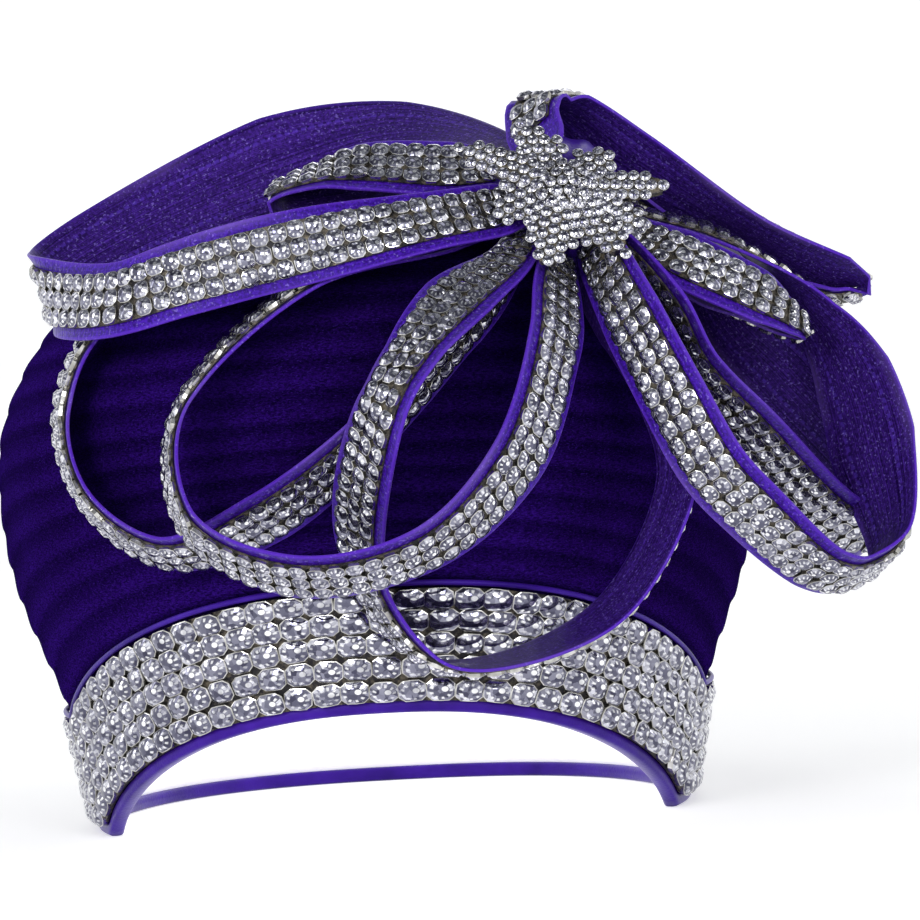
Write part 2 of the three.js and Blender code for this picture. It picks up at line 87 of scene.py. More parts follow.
# One row for each level of the crown, in mm and degrees.
CROWN_LEVELS = [
    # side_x side_z front_y front_z back_y back_z foot
    (88, 0, -104, 37, 104, 0, 68.5),
    (95, 34, -112, 73, 114, 34, 73.5),
    (109, 72, -120, 103, 127, 66, 80),
    (113, 100, -121, 122, 130, 88, 88),
    (110, 120, -117, 139, 127, 106, 90),
    (98, 142, -102, 158, 115, 130, 90),
    (78, 162, -76, 173, 92, 152, 90),
    (45, 176, -34, 180, 60, 171, 90),
    (0, 182, 17, 182, 17, 182, 90),
]

# One row for each bend of a loop, from the knot out along its front limb and back: the middle of the ribbon,
# the way across it, and its width there as a share of the full width. Lengths in mm.
LOOPS = {
    "left_front": [
        # x y z wx wy wz gather
        (53, -106, 181, 0, 0.8, 0.6, 0.45),
        (41, -110, 178, 0, 0.6, 0.8, 0.8),
        (17, -119, 175, -0.1, 0.6, 0.8, 0.95),
        (-28, -126, 168, 0, 0, 1, 1),
        (-50, -124, 163, 0, 0.2, 1, 1),
        (-70, -115, 158, 0.1, 0.3, 1, 1),
        (-89, -86, 160, -0.2, 0.4, 0.9, 1),
        (-88, -70, 165, -0.3, 0.5, 0.8, 1),
        (-74, -57, 174, -0.3, 0.5, 0.8, 1.18),
        (-24, -50, 194, -0.3, 0.4, 0.8, 1.5),
        (12, -53, 202, -0.1, 0.8, 0.55, 1.35),
        (37, -63, 197, 0, 0.9, 0.45, 0.95),
        (51, -77, 187, 0.1, 0.9, 0.4, 0.45),
    ],
    "left_inner": [
        (53, -86, 185, 0, 0.9, 0.5, 0.45),
        (40, -88, 189, 0, 0.8, 0.6, 0.85),
        (26, -90, 190, 0.1, 0.7, 0.7, 1),
        (1, -88, 192, 0.1, 0.8, 0.6, 1),
        (-11, -86, 190, 0, 1, 0.3, 1),
        (-24, -83, 185, 0.1, 1, 0.2, 1),
        (-20, -81, 182, 0, 0.8, 0.6, 1),
        (-4, -80, 183, 0, 0.6, 0.8, 1),
        (32, -74, 187, 0, 0.8, 0.5, 0.9),
        (50, -76, 182, 0, 0.9, 0.4, 0.45),
    ],
    "left_far": [
        (53, -84, 176, -0.2, -0.8, 0.5, 0.45),
        (42, -102, 163, -0.5, -0.6, 0.6, 0.6),
        (30, -121, 149, -0.4, -0.8, 0.4, 1),
        (13, -131, 130, -0.4, -0.8, 0.4, 1),
        (-2, -132, 115, -0.3, -0.8, 0.5, 1),
        (-30, -126, 95, -0.2, -0.7, 0.6, 1),
        (-58, -114, 86, 0, -0.9, 0.4, 1),
        (-80, -102, 101, 0.1, -1, 0.2, 1),
        (-87, -90, 126, 0.2, -1, 0, 1),
        (-75, -90, 150, 0.1, -1, -0.1, 1),
        (-32, -102, 166, 0.1, -1, -0.1, 1),
        (14, -96, 172, 0, -1, -0.1, 1),
        (34, -84, 176, 0, -1, -0.1, 0.9),
        (50, -76, 179, 0, -1, -0.2, 0.45),
    ],
    "left_low": [
        (56, -104, 167, -0.5, -0.9, 0, 0.5),
        (55, -121, 154, -0.6, -0.8, 0.1, 0.85),
        (53, -135, 140, -0.6, -0.8, 0.1, 1),
        (41, -152, 109, -0.6, -0.7, 0.3, 1),
        (15, -160, 86, -0.3, -0.8, 0.5, 1),
        (-22, -157, 80, 0.1, -0.8, 0.5, 1),
        (-50, -145, 95, 0.2, -1, 0.2, 1),
        (-52, -127, 125, 0.1, -1, 0, 1),
        (-15, -115, 159, 0.1, -1, -0.1, 1),
        (25, -98, 168, 0, -1, -0.1, 1),
        (41, -86, 173, 0, -1, -0.1, 0.85),
        (51, -79, 177, 0, -1, -0.2, 0.45),
    ],
    "middle_low": [
        (51, -98, 177, -0.3, 0.9, 0.4, 0.45),
        (42, -119, 164, -0.4, 0.8, 0.4, 0.7),
        (27, -139, 154, -0.5, 0.7, 0.5, 1),
        (14, -153, 140, -0.4, 0.8, 0.4, 1),
        (5, -158, 126, -0.6, 0.8, 0.2, 1),
        (-4, -139, 93, -0.6, 0.8, 0, 1),
        (-2, -129, 75, -0.4, 0.9, 0, 1),
        (12, -125, 55, -0.3, 1, 0, 1),
        (29, -125, 51, -0.1, 1, 0.1, 1),
        (65, -118, 64, -0.3, 0.9, 0.2, 1),
        (86, -110, 100, -0.5, 0.9, 0, 1),
        (82, -107, 121, -0.5, 0.9, -0.1, 1),
        (70, -107, 143, -0.4, 0.9, -0.1, 1),
        (62, -91, 161, -0.3, 0.9, -0.1, 0.7),
        (60, -79, 174, -0.3, 0.9, -0.2, 0.45),
    ],
    "right_front": [
        (62, -102, 177, -0.4, 0.9, -0.3, 0.5),
        (67, -114, 164, -0.6, 0.7, -0.3, 0.85),
        (75, -127, 145, -0.7, 0.6, -0.5, 1),
        (85, -133, 123, -0.7, 0.5, -0.5, 1),
        (95, -133, 103, -0.7, 0.5, -0.5, 1),
        (105, -129, 91, -0.6, 0.6, -0.6, 1),
        (125, -113, 72, -0.4, 0.8, -0.5, 1),
        (136, -102, 70, -0.2, 0.9, -0.4, 1),
        (146, -93, 77, -0.4, 0.85, -0.35, 1.15),
        (143.5, -79, 104, -0.7, 0.7, -0.2, 1.5),
        (139, -75, 124, -0.6, 0.7, -0.3, 1.45),
        (130, -72, 141, -0.5, 0.8, -0.3, 1),
        (105, -70, 165, 0, 1, 0.1, 1),
        (80, -72, 174, 0, 1, 0.1, 0.85),
        (67, -77, 179, 0, 1, 0.2, 0.45),
    ],
    "right_inner": [
        (61, -94, 176, -0.4, 0.9, -0.2, 0.45),
        (73, -104, 165, -0.4, 0.8, -0.3, 0.75),
        (86, -108, 147, -0.4, 0.9, -0.4, 1),
        (93, -106, 129, -0.5, 0.8, -0.5, 1),
        (106, -99, 113, -0.5, 0.7, -0.5, 1),
        (133, -69, 83, -0.4, 0.7, -0.6, 1),
        (146, -55, 80, -0.4, 0.7, -0.6, 1.15),
        (147, -50, 92, -0.4, 0.7, -0.6, 1.35),
        (122, -51, 126, -0.6, 0.4, -0.6, 1.2),
        (109, -54, 140, -0.6, 0.6, -0.5, 1.2),
        (98, -57, 155, -0.5, 0.8, -0.4, 1),
        (83, -62, 165, -0.4, 0.9, -0.4, 0.85),
        (66, -76, 174, -0.3, 0.9, -0.3, 0.45),
    ],
    "right_small": [
        (65, -92, 178, -0.4, -0.8, -0.4, 0.45),
        (80, -94, 168, -0.3, -0.8, -0.6, 0.7),
        (91, -97, 161, -0.3, -0.7, -0.7, 1),
        (113, -95, 149, -0.3, -0.7, -0.6, 0.95),
        (121, -92, 143, -0.3, -0.8, -0.5, 0.6),
        (125, -87, 139, -0.2, -0.9, -0.4, 0.3),
        (120, -82, 140, -0.2, -0.9, -0.4, 0.5),
        (108, -81, 147, -0.2, -0.9, -0.3, 0.9),
        (98, -83, 154, -0.3, -0.8, -0.5, 1),
        (83, -86, 163, -0.3, -0.8, -0.6, 0.85),
        (68, -86, 175, -0.3, -0.7, -0.7, 0.45),
    ],
    "right_top": [
        (57, -90, 186, 0.4, -0.9, 0, 0.45),
        (53, -87, 195, 0.7, -0.7, 0, 0.9),
        (51, -83, 202, 0.6, -0.8, 0, 1),
        (53, -77, 208, 0.5, -0.9, -0.1, 1),
        (61, -70, 206, 0.35, -0.85, 0.35, 1),
        (80, -64, 190, 0.4, -0.7, 0.6, 1),
        (112, -60, 168, 0.2, -0.9, 0.4, 1),
        (136, -57, 154, 0.15, -0.8, 0.5, 1),
        (144, -54, 150, 0.1, -0.9, 0.4, 0.4),
        (137, -51, 148, 0.1, -1, 0.2, 0.7),
        (110, -45, 162.5, 0, -0.9, -0.35, 1.1),
        (79, -54, 179, 0, -1, 0.1, 0.85),
        (66, -72, 183, 0, -1, 0.1, 0.45),
    ],
}

KNOT_MIDDLE = (58, -86, 180)
KNOT_RADII = (18, 28, 18)
KNOT_FOOT = (9, 30)

BROOCH_MIDDLE = (57.8, -117, 182.5)
BROOCH_TILT = 28
# One row for each leaf of the brooch, in degrees and mm.
LEAVES = [
    # angle length half_width lift
    (154, 33, 6.5, 3.2),
    (117, 24, 7.0, 2.4),
    (33, 18, 6.5, 3.4),
    (357, 31, 6.0, 2.8),
    (328, 26, 6.5, 2.2),
    (306, 28, 7.0, 2.6),
    (257, 27, 7.5, 3.0),
    (202, 21, 7.0, 2.3),
]

# Outline of one stone in its cup, as shares of its radius, from the cup's foot up to the table.
STONE_RINGS = [
    # radius height twist part
    (0.96, 0.0, 0.0, "cup"),
    (1.0, 0.42, 0.0, "cup"),
    (0.93, 0.46, 0.0, "cup"),
    (0.55, 0.78, 0.5, "stone"),
]
STONE_SIDES = 12
# Slots of a set stone. BRIGHT and DARK are copies of the crystal with painted light and dark reflections.
BRIGHT, CUP, GROUND, DARK = range(4)

CAMERA_AIM = (25, 0, 104)
CAMERA_DISTANCE = 1800
CAMERA_ELEVATION = 2.0
CAMERA_ROLL = 3.03
MM_PER_PIXEL = 0.30
IMAGE_SIZE = 920
SENSOR = 36.0

FLOOR_RADIUS = 3.0
# The wall round the floor, as a height in metres and a share of the floor's radius.
WALL_RINGS = ((0.15, 1.1), (0.5, 1.17), (3.0, 1.17))
LIGHTS = (
    # name, place from the camera's aim in metres, size in metres, power in watts
    ("key", (-0.8, -1.7, 0.6), (0.62, 0.62), 15),
    ("front", (0.6, -1.8, 0.45), (0.5, 0.5), 8),
    ("left", (-1.6, -0.1, 0.5), (0.3, 1.2), 2),
    ("right", (1.5, -0.1, 0.8), (0.3, 1.2), 2),
    ("top", (-0.2, -0.1, 1.7), (0.9, 0.5), 1.5),
    ("back", (0.3, 1.5, 1.2), (0.8, 0.6), 2.5),
)


def spot(x, y, z):
    """A point of the tables, in the frame's metres."""
    return Vector((x * MM, y * MM, z * MM)) + RIM_MIDDLE


def smooth_step(low, high, value):
    share = min(1.0, max(0.0, (value - low) / (high - low)))
    return share * share * (3 - 2 * share)


# Crown surface


def hermite(values, knots, share):
    before, start, end, after = values
    k0, k1, k2, k3 = knots
    span = k2 - k1
    slope_start = (end - before) / (k2 - k0) * span
    slope_end = (after - start) / (k3 - k1) * span
    s2 = share * share
    s3 = s2 * share
    return (
        (2 * s3 - 3 * s2 + 1) * start
        + (s3 - 2 * s2 + share) * slope_start
        + (3 * s2 - 2 * s3) * end
        + (s3 - s2) * slope_end
    )


def level_knots():
    knots = [0.0]
    for low, high in zip(CROWN_LEVELS, CROWN_LEVELS[1:]):
        knots.append(knots[-1] + math.hypot(high[0] - low[0], high[1] - low[1]))
    return knots


KNOTS = level_knots()
BAND_TOP = KNOTS[BAND_TOP_LEVEL]
FOLDS_END = KNOTS[FOLDS_END_LEVEL]
POLE = KNOTS[-1]


def level_at(along):
    last = len(CROWN_LEVELS) - 1
    index = 0
    while index < last - 1 and along > KNOTS[index + 1]:
        index += 1
    share = (along - KNOTS[index]) / (KNOTS[index + 1] - KNOTS[index])
    picks = [max(0, index - 1), index, index + 1, min(last, index + 2)]
    knots = [KNOTS[pick] for pick in picks]
    return [hermite([CROWN_LEVELS[pick][column] for pick in picks], knots, share) for column in range(7)]


def level_point(level, around):
    side_x, side_z, front_y, front_z, back_y, back_z, foot = level
    middle_y = (front_y + back_y) / 2
    turn = math.cos(around)
    across = math.sin(around)
    x = side_x * math.copysign(abs(across) ** PLAN_POWER, across)
    if turn <= 0:
        return Vector((x, middle_y - (back_y - middle_y) * turn, side_z + (back_z - side_z) * turn * turn))
    reach = min(1.0, abs(math.atan2(across, turn)) / math.radians(foot))
    arch = max(0.0, math.cos(math.pi / 2 * reach)) ** ARCH_POWER
    return Vector((x, middle_y + (front_y - middle_y) * turn, side_z + (front_z - side_z) * arch))


def crown_spot(along, around, offset=0.0):
    """A point at a distance off the crown's outside, in mm from the rim's middle, with the way out there."""
    level = level_at(along)
    point = level_point(level, around)
    low = level_at(max(0.0, along - 0.5))
    high = level_at(min(POLE - 0.5, along + 0.5))
    up = level_point(high, around) - level_point(low, around)
    beside = level_point(level, around + 0.02) - level_point(level, around - 0.02)
    out = beside.cross(up).normalized()
    return point + out * offset, out, beside.normalized()


# Ribbon loops


def curve_share(points, share, centripetal):
    """A point on a smooth curve through points, at a share of its count of stretches."""
    place = share * (len(points) - 1)
    index = min(int(place), len(points) - 2)
    weight = place - index
    p1, p2 = points[index], points[index + 1]
    p0 = points[index - 1] if index > 0 else p1 * 2 - p2
    p3 = points[index + 2] if index + 2 < len(points) else p2 * 2 - p1
    if centripetal:
        d0, d1, d2 = ((b - a).length ** 0.5 for a, b in ((p0, p1), (p1, p2), (p2, p3)))
        slope_1 = ((p1 - p0) / d0 - (p2 - p0) / (d0 + d1) + (p2 - p1) / d1) * d1
        slope_2 = ((p2 - p1) / d1 - (p3 - p1) / (d1 + d2) + (p3 - p2) / d2) * d1
    else:
        slope_1 = (p2 - p0) / 2
        slope_2 = (p3 - p1) / 2
    w2 = weight * weight
    w3 = w2 * weight
    return (
        p1 * (2 * w3 - 3 * w2 + 1)
        + slope_1 * (w3 - 2 * w2 + weight)
        + p2 * (3 * w2 - 2 * w3)
        + slope_2 * (w3 - w2)
    )


class Loop:
    """A ribbon's route: its middle, its way across, the way its stones face and its width at any length."""

    STEPS_PER_ROW = 12

    def __init__(self, rows):
        points = [Vector(row[:3]) for row in rows]
        ways = [Vector(row[3:6]).normalized() for row in rows]
        gathers = [row[6] for row in rows]
        count = (len(rows) - 1) * self.STEPS_PER_ROW
        self.frames = []
        self.lengths = [0.0]
        for i in range(count + 1):
            share = i / count
            nudge = 0.0005
            low = curve_share(points, max(0.0, share - nudge), True)
            high = curve_share(points, min(1.0, share + nudge), True)
            forward = (high - low).normalized()
            across = curve_share(ways, share, False)
            across = (across - forward * across.dot(forward)).normalized()
            place = share * (len(rows) - 1)
            index = min(int(place), len(rows) - 2)
            gather = gathers[index] + (gathers[index + 1] - gathers[index]) * (place - index)
            self.frames.append((curve_share(points, share, True), across, across.cross(forward), gather))
            if i:
                self.lengths.append(self.lengths[-1] + (self.frames[i][0] - self.frames[i - 1][0]).length)
        self.length = self.lengths[-1]
        self.hint = 0

    def at(self, length):
        length = min(max(length, 0.0), self.length - 1e-6)
        index = self.hint
        if self.lengths[index] > length:
            index = 0
        while self.lengths[index + 1] <= length:
            index += 1
        self.hint = index
        span = self.lengths[index + 1] - self.lengths[index]
        share = (length - self.lengths[index]) / span
        first, second = self.frames[index], self.frames[index + 1]
        point = first[0].lerp(second[0], share)
        across = first[1].lerp(second[1], share).normalized()
        face = first[2].lerp(second[2], share).normalized()
        return point, across, face, first[3] + (second[3] - first[3]) * share


LOOP_ROUTES = {name: Loop(rows) for name, rows in LOOPS.items()}


def in_knot(point, grown):
    """Whether a point in mm lies in the knot, grown by a distance in mm."""
    return sum(((point[i] - KNOT_MIDDLE[i]) / (KNOT_RADII[i] + grown)) ** 2 for i in range(3)) < 1


# Mesh helpers


def in_mm(length):
    """A setting's length in mm, freed of the few digits that its storage adds."""
    return round(length / MM, 4)


def uv_layer(bm):
    return bm.loops.layers.uv.get(UV_NAME) or bm.loops.layers.uv.new(UV_NAME)


def shaped_grid(bm, columns, rows, place):
    """A grid whose every point is set by place(u, v), both from 0 to 1, with a UV map of the same shares."""
    uv_layer(bm)
    made = bmesh.ops.create_grid(bm, x_segments=columns, y_segments=rows, size=0.5, calc_uvs=True)
    for vert in made["verts"]:
        u, v = vert.co.x + 0.5, vert.co.y + 0.5
        vert.co = place(u, v)
    return made["verts"]


def finished(name, bm, materials, smooth=True):
    """Makes a piece of a bmesh, in the frame's metres."""
    mesh = bpy.data.meshes.new(name)
    bm.to_mesh(mesh)
    bm.free()
    for material in materials:
        mesh.materials.append(material)
    if smooth:
        mesh.shade_smooth()
    piece = bpy.data.objects.new(name, mesh)
    bpy.context.scene.collection.objects.link(piece)
    return piece


def strip_outline(v, across_steps):
    """Where v from 0 to 1 lies round a flat strip's section: its share across, and whether it's on top."""
    steps = 2 * across_steps + 2
    step = round(v * steps) % steps
    if step <= across_steps:
        return step / across_steps, True
    return 1 - (step - across_steps - 1) / across_steps, False


def close_up(bm, distance=0.02):
    """Merges points within a distance in mm, fills the open ends and turns the faces outwards."""
    bmesh.ops.remove_doubles(bm, verts=bm.verts, dist=distance * MM)
    holes = [edge for edge in bm.edges if edge.is_boundary]
    if holes:
        bmesh.ops.holes_fill(bm, edges=holes, sides=0)
    face_out(bm)


def face_out(bm):
    bmesh.ops.recalc_face_normals(bm, faces=bm.faces)


def extrude_ring(bm, edges):
    """Extrudes a ring of edges in place, and gives the new points, ring and faces."""
    grown = bmesh.ops.extrude_edge_only(bm, edges=edges)["geom"]
    verts = [item for item in grown if isinstance(item, bmesh.types.BMVert)]
    faces = [item for item in grown if isinstance(item, bmesh.types.BMFace)]
    made = [item for item in grown if isinstance(item, bmesh.types.BMEdge)]
    return verts, [edge for edge in made if all(vert in verts for vert in edge.verts)], faces


def all_ground(bm):
    for face in bm.faces:
        face.material_index = GROUND


def declare(piece, node):
    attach(piece, "root")
    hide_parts(node)


def stone_mesh(name, radius, cushion):
    """One cut stone in its cup, standing on Z 0, as a closed mesh. Its corners stand out by cushion."""
    bm = bmesh.new()
    layer = uv_layer(bm)
    made = bmesh.ops.create_circle(bm, cap_ends=True, radius=radius, segments=STONE_SIDES)
    bmesh.ops.reverse_faces(bm, faces=bm.faces)
    edges = list(bm.edges)
    ring_before = STONE_RINGS[0]
    bmesh.ops.scale(bm, verts=made["verts"], vec=(ring_before[0], ring_before[0], 1))
    split = []
    for ring in STONE_RINGS[1:]:
        verts, edges, faces = extrude_ring(bm, edges)
        share = ring[0] / ring_before[0]
        bmesh.ops.scale(bm, verts=verts, vec=(share, share, 1))
        lift = (ring[1] - ring_before[1]) * radius
        bmesh.ops.translate(bm, verts=verts, vec=(0, 0, lift))
        twist = (ring[2] - ring_before[2]) * 2 * math.pi / STONE_SIDES
        bmesh.ops.rotate(bm, verts=verts, cent=(0, 0, 0), matrix=Matrix.Rotation(twist, 3, "Z"))
        for face in faces:
            face.material_index = BRIGHT if ring[3] == "stone" else CUP
        if twist:
            split += faces
        ring_before = ring
    table = bmesh.ops.contextual_create(bm, geom=edges)["faces"]
    # Painted reflections: the table and every second star facet take the darker copy of the crystal, and the
    # other facets take the brighter one.
    table[0].material_index = DARK
    facets = bmesh.ops.triangulate(bm, faces=split)["faces"]
    for index, facet in enumerate(facets):
        facet.material_index = DARK if index % 2 else BRIGHT
    for vert in bm.verts:
        # Squares the round outline off into a cushion.
        flat = Vector((vert.co.x, vert.co.y))
        if flat.length > 0:
            turn = math.atan2(flat.y, flat.x)
            grown = 1 + cushion * (1 - math.cos(4 * turn)) / 2
            vert.co.x *= grown
            vert.co.y *= grown
    face_out(bm)
    for face in bm.faces:
        face.smooth = face.material_index != CUP
        for corner in face.loops:
            flat = corner.vert.co / radius
            corner[layer].uv = (0.5 + flat.x / 2, 0.5 + flat.y / 2)
    mesh = bpy.data.meshes.new(name)
    bm.to_mesh(mesh)
    bm.free()
    return mesh


def set_stones(bm, template, places, seed):
    """Copies a stone to every place, a matrix, with a slightly different lean for each."""
    dice = random.Random(seed)
    for matrix in places:
        lean = Matrix.Rotation(dice.gauss(0, 0.07), 4, "X") @ Matrix.Rotation(dice.gauss(0, 0.07), 4, "Y")
        turn = Matrix.Rotation(dice.gauss(0, 0.06), 4, "Z")
        copy = template.copy()
        copy.transform(matrix @ lean @ turn)
        bm.from_mesh(copy)
        bpy.data.meshes.remove(copy)


def seat(point, right, out, size):
    """The matrix of a stone that stands on point, with right along its side and out along its axis."""
    up = out.cross(right).normalized()
    turn = Matrix((right, up, out)).transposed().to_4x4()
    return Matrix.Translation(spot(*point)) @ turn @ Matrix.Scale(size, 4)


# Materials


class Nodes:
    """A material's node tree. Most methods add nodes and give an output. A socket takes that or a value."""

    def __init__(self, name):
        self.material = bpy.data.materials.new(name)
        self.material.use_nodes = True
        self.tree = self.material.node_tree
        self.tree.nodes.clear()
        self.shader = self.tree.nodes.new("ShaderNodeBsdfPrincipled")
        out = self.tree.nodes.new("ShaderNodeOutputMaterial")
        self.put(self.shader.outputs["BSDF"], out.inputs["Surface"])

    def put(self, item, socket):
        if isinstance(item, bpy.types.NodeSocket):
            self.tree.links.new(item, socket)
        else:
            socket.default_value = item

    def add(self, kind, inputs, **settings):
        node = self.tree.nodes.new(kind)
        for key, value in settings.items():
            setattr(node, key, value)
        for key, item in inputs.items():
            self.put(item, node.inputs[key])
        return node

    def uv(self):
        return self.add("ShaderNodeUVMap", {}, uv_map=UV_NAME).outputs["UV"]

    def uv_shares(self):
        shares = self.add("ShaderNodeSeparateXYZ", {"Vector": self.uv()}).outputs
        return shares["X"], shares["Y"]

    def on_object(self):
        return self.add("ShaderNodeTexCoord", {}).outputs["Object"]

    def noise(self, scale, detail=1, roughness=0.5, stretch=None, on_uv=False):
        source = self.uv() if on_uv else self.on_object()
        if stretch:
            source = self.add("ShaderNodeMapping", {"Vector": source, "Scale": stretch}).outputs["Vector"]
        inputs = {"Vector": source, "Scale": scale, "Detail": detail, "Roughness": roughness}
        return self.add("ShaderNodeTexNoise", inputs).outputs["Fac"]

    def ramp(self, source, *stops):
        """Each stop is a place and a colour or a level of grey."""
        node = self.add("ShaderNodeValToRGB", {"Fac": source})
        elements = node.color_ramp.elements
        while len(elements) < len(stops):
            elements.new(0.5)
        for element, (place, tone) in zip(elements, stops):
            element.position = place
            element.color = tone if isinstance(tone, tuple) else (tone, tone, tone, 1)
        return node.outputs["Color"]

    def math(self, operation, first, second=None):
        inputs = {0: first} if second is None else {0: first, 1: second}
        return self.add("ShaderNodeMath", inputs, operation=operation).outputs[0]

    def distance(self, first, second):
        return self.add("ShaderNodeVectorMath", {0: first, 1: second}, operation="DISTANCE").outputs["Value"]

    def gap(self, first, second):
        """How far apart two numbers are."""
        return self.math("ABSOLUTE", self.math("SUBTRACT", first, second))

    def mix(self, share, first, second, blend="MIX"):
        inputs = {0: share, 6: first, 7: second}
        return self.add("ShaderNodeMix", inputs, data_type="RGBA", blend_type=blend).outputs[2]

    def shaded(self, base, shade):
        return self.mix(1.0, base, shade, "MULTIPLY")

    def specked(self, base, speck, scale, low, share, stretch=None):
        """Sets specks of a colour on a base."""
        specks = self.ramp(self.noise(scale, stretch=stretch), (low, 0), (low + 0.12, 1))
        return self.mix(self.math("MULTIPLY", specks, share), base, speck)

    def bump(self, height, distance, strength):
        inputs = {"Height": height, "Distance": distance, "Strength": strength}
        self.set(Normal=self.add("ShaderNodeBump", inputs).outputs["Normal"])

    def set(self, **values):
        """Sets the shader's inputs, with _ for each space in their names."""
        for key, value in values.items():
            self.put(value, self.shader.inputs[key.replace("_", " ")])


def colour(red, green, blue):
    """A colour given as the eye sees it, from 0 to 255, in the renderer's linear scale."""
    def linear(value):
        value = value / 255
        return value / 12.92 if value <= 0.04045 else ((value + 0.055) / 1.055) ** 2.4
    return (linear(red), linear(green), linear(blue), 1.0)


WHITE = (1, 1, 1, 1)
SATIN_GLOSS = {"Specular_Tint": colour(170, 150, 255), "Sheen_Roughness": 0.3}
RIBBON_SHEEN = {"Sheen_Weight": 0.04, "Sheen_Tint": colour(120, 90, 235)}


def crown_satin():
    nodes = Nodes("crown_satin")
    weave = (1, 1, 2.6)
    crepe = nodes.noise(900, 3, 0.7, weave)
    base = nodes.ramp(nodes.noise(18, 3, 0.55), (0.3, colour(15, 2, 47)), (0.7, colour(24, 5, 68)))
    base = nodes.shaded(base, nodes.ramp(crepe, (0.4, 0.45), (0.62, 1.7)))
    # Painted shade and light on the folds: the UV map's x is each point's share of the fold height, so the
    # colour is darker where the crown stands out least (in the hollows between folds, and where there are no
    # folds) and lighter up to the crests.
    rise = nodes.uv_shares()[0]
    base = nodes.shaded(base, nodes.ramp(rise, (0.0, 0.72), (0.4, 1), (1.0, 1.5)))
    # Painted glints: lighter specks scattered over the weave.
    base = nodes.specked(base, colour(62, 38, 142), 1500, 0.6, 0.35, weave)
    nodes.set(Base_Color=base, Roughness=0.45, Specular_IOR_Level=0.0, **SATIN_GLOSS)
    nodes.set(Sheen_Weight=0.05, Sheen_Tint=colour(110, 80, 225))
    nodes.bump(crepe, 0.0006, 0.9)
    return nodes.material


def ribbon_satin(name, inside):
    """The ribbons' satin: their UV map is the length in metres and the share across."""
    nodes = Nodes(name)
    length, across = nodes.uv_shares()
    from_middle = nodes.gap(across, 0.5)
    painted_sheen_streaks = nodes.noise(1.0, 3, 0.6, (9, 60, 1), on_uv=True)
    ruche = nodes.noise(1.0, 2, 0.6, (620, 2.2, 1), on_uv=True)
    through_light_noise = nodes.noise(1.0, 2, 0.5, (16, 0.5, 1), on_uv=True)
    crepe = nodes.noise(1100, 2, 0.6)
    if inside:
        deep, bright, edge = colour(22, 5, 60), colour(62, 34, 126), colour(54, 24, 124)
    else:
        deep, bright, edge = colour(42, 12, 112), colour(62, 25, 150), colour(74, 36, 160)
    # Painted sheen: lengthwise streaks from the deep to the bright colour.
    base = nodes.ramp(painted_sheen_streaks, (0.35, deep), (0.7, bright))
    base = nodes.shaded(base, nodes.ramp(crepe, (0.38, 0.6), (0.64, 1.45)))
    # Painted highlight: a lighter colour along both edges of the ribbon, where they are rolled.
    base = nodes.mix(nodes.ramp(from_middle, (0.45, 0), (0.49, 1)), base, edge)
    # Painted light showing through the thin margins: pale mauve-grey patches at random along the length.
    margin = nodes.ramp(from_middle, (0.36, 0), (0.46, 1))
    painted_through_light = nodes.math("MULTIPLY", nodes.ramp(through_light_noise, (0.5, 0), (0.68, 1)), margin)
    base = nodes.mix(nodes.math("MULTIPLY", painted_through_light, 0.55), base, colour(104, 82, 150))
    if inside:
        seam = nodes.ramp(nodes.gap(from_middle, 0.27), (0.01, 1), (0.024, 0))
        dash = nodes.math("FRACT", nodes.math("MULTIPLY", length, 420.0))
        stitches = nodes.math("MULTIPLY", seam, nodes.math("LESS_THAN", dash, 0.6))
        base = nodes.mix(nodes.math("MULTIPLY", stitches, 0.4), base, colour(78, 50, 168))
    # Painted glints: pale specks scattered over the satin.
    base = nodes.specked(base, colour(128, 108, 200), 1300, 0.62, 0.5)
    nodes.set(Base_Color=base, **SATIN_GLOSS, **RIBBON_SHEEN)
    nodes.set(Roughness=0.4 if inside else 0.32, Specular_IOR_Level=0.12 if inside else 0.22)
    nodes.bump(nodes.math("ADD", nodes.math("MULTIPLY", crepe, 0.35), ruche), 0.0005, 0.5)
    return nodes.material


def plain_satin(name):
    nodes = Nodes(name)
    base = nodes.ramp(nodes.noise(60, 3, 0.6), (0.3, colour(38, 12, 104)), (0.7, colour(58, 25, 140)))
    nodes.set(Base_Color=base, Roughness=0.34, Specular_IOR_Level=0.3, **SATIN_GLOSS, **RIBBON_SHEEN)
    nodes.bump(nodes.noise(1200, 2, 0.6), 0.0002, 0.5)
    return nodes.material


